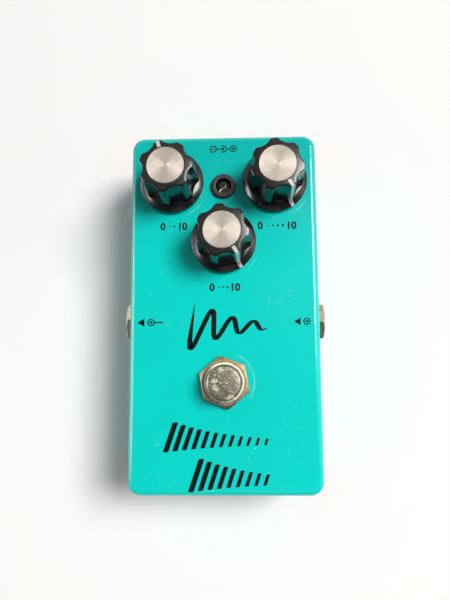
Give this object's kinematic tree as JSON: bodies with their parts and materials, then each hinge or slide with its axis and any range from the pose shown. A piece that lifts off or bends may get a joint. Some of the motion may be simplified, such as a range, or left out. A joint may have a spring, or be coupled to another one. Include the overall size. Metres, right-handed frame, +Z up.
{
  "type": "analog delay pedal",
  "caption": "Small die-cast effects pedal with fluted skirted knobs for time, repeats and level, an LED, a footswitch, side jacks and a rear power jack.",
  "frame": {"origin": "middle of the part's footprint, on the surface that the rubber feet stand on", "axes": "+X to the input jack, +Y to the end with the power jack, +Z up out of the panel"},
  "size_m": [0.0648, 0.114, 0.0498],
  "materials": {
    "teal_paint": "gloss teal paint over die-cast aluminium, lightly scuffed",
    "black_gloss_plastic": "gloss moulded plastic",
    "black_plastic": "satin moulded plastic",
    "spun_aluminium": "spun satin",
    "nickel": "nickel plating",
    "worn_chrome": "worn chrome plating",
    "dark_steel": "dark zinc plating",
    "brass": "turned brass",
    "rubber": "matte rubber",
    "clear_lens": "clear cast resin, unlit",
    "blue_plastic": "moulded plastic",
    "circuit_board_green": "solder mask over glass laminate",
    "chip_black": "moulded epoxy",
    "capacitor_sleeve": "shrink sleeve over aluminium can"
  },
  "bodies": {
    "pedal": {"enclosure": "teal_paint", "base_plate": "teal_paint", "base_screw_front_left": "dark_steel", "base_screw_front_right": "dark_steel", "base_screw_back_left": "dark_steel", "base_screw_back_right": "dark_steel", "foot_front_left": "rubber", "foot_front_right": "rubber", "foot_back_left": "rubber", "foot_back_right": "rubber", "led_bezel": "black_plastic", "led": "clear_lens", "led_collar": "black_plastic", "footswitch_body": "blue_plastic", "footswitch_nut": "worn_chrome", "footswitch_lower_nut": "nickel", "footswitch_lock_washer": "nickel", "footswitch_spring": "nickel", "time_pot": "dark_steel", "time_pot_washer": "nickel", "time_pot_nut": "nickel", "repeat_pot": "dark_steel", "repeat_pot_washer": "nickel", "repeat_pot_nut": "nickel", "level_pot": "dark_steel", "level_pot_washer": "nickel", "level_pot_nut": "nickel", "output_jack": "black_plastic", "output_jack_washer": "nickel", "output_jack_nut": "nickel", "input_jack": "black_plastic", "input_jack_washer": "nickel", "input_jack_nut": "nickel", "power_jack": "black_plastic", "power_jack_pin": "nickel", "power_jack_nut": "black_plastic", "circuit_board": "circuit_board_green", "delay_chip_1": "chip_black", "delay_chip_2": "chip_black", "compander_chip": "chip_black", "filter_capacitor_1": "capacitor_sleeve", "filter_capacitor_2": "capacitor_sleeve"},
    "time_control": {"time_knob": "black_gloss_plastic", "time_knob_cap": "spun_aluminium", "time_knob_insert": "brass", "time_set_screw": "dark_steel", "time_pot_shaft": "nickel"},
    "repeat_control": {"repeat_knob": "black_gloss_plastic", "repeat_knob_cap": "spun_aluminium", "repeat_knob_insert": "brass", "repeat_set_screw": "dark_steel", "repeat_pot_shaft": "nickel"},
    "level_control": {"level_knob": "black_gloss_plastic", "level_knob_cap": "spun_aluminium", "level_knob_insert": "brass", "level_set_screw": "dark_steel", "level_pot_shaft": "nickel"},
    "footswitch_plunger": {"footswitch_button": "worn_chrome"}
  },
  "joints": [
    {"name": "time_turn", "type": "hinge", "parent": "pedal", "child": "time_control", "pos_m": [-0.0162, 0.03934, 0.0335], "axis": [0, 0, 1], "range_deg": [-168, 132]},
    {"name": "repeat_turn", "type": "hinge", "parent": "pedal", "child": "repeat_control", "pos_m": [0.0162, 0.03934, 0.0335], "axis": [0, 0, 1], "range_deg": [-3, 297]},
    {"name": "level_turn", "type": "hinge", "parent": "pedal", "child": "level_control", "pos_m": [0, 0.02019, 0.0335], "axis": [0, 0, 1], "range_deg": [-3, 297]},
    {"name": "footswitch_press", "type": "slide", "parent": "pedal", "child": "footswitch_plunger", "axis": [0, 0, -1], "range_m": [0, 0.0025], "stiffness_N_per_m": 3000, "springref_m": -0.003, "deforming": ["footswitch_spring"]}
  ]
}
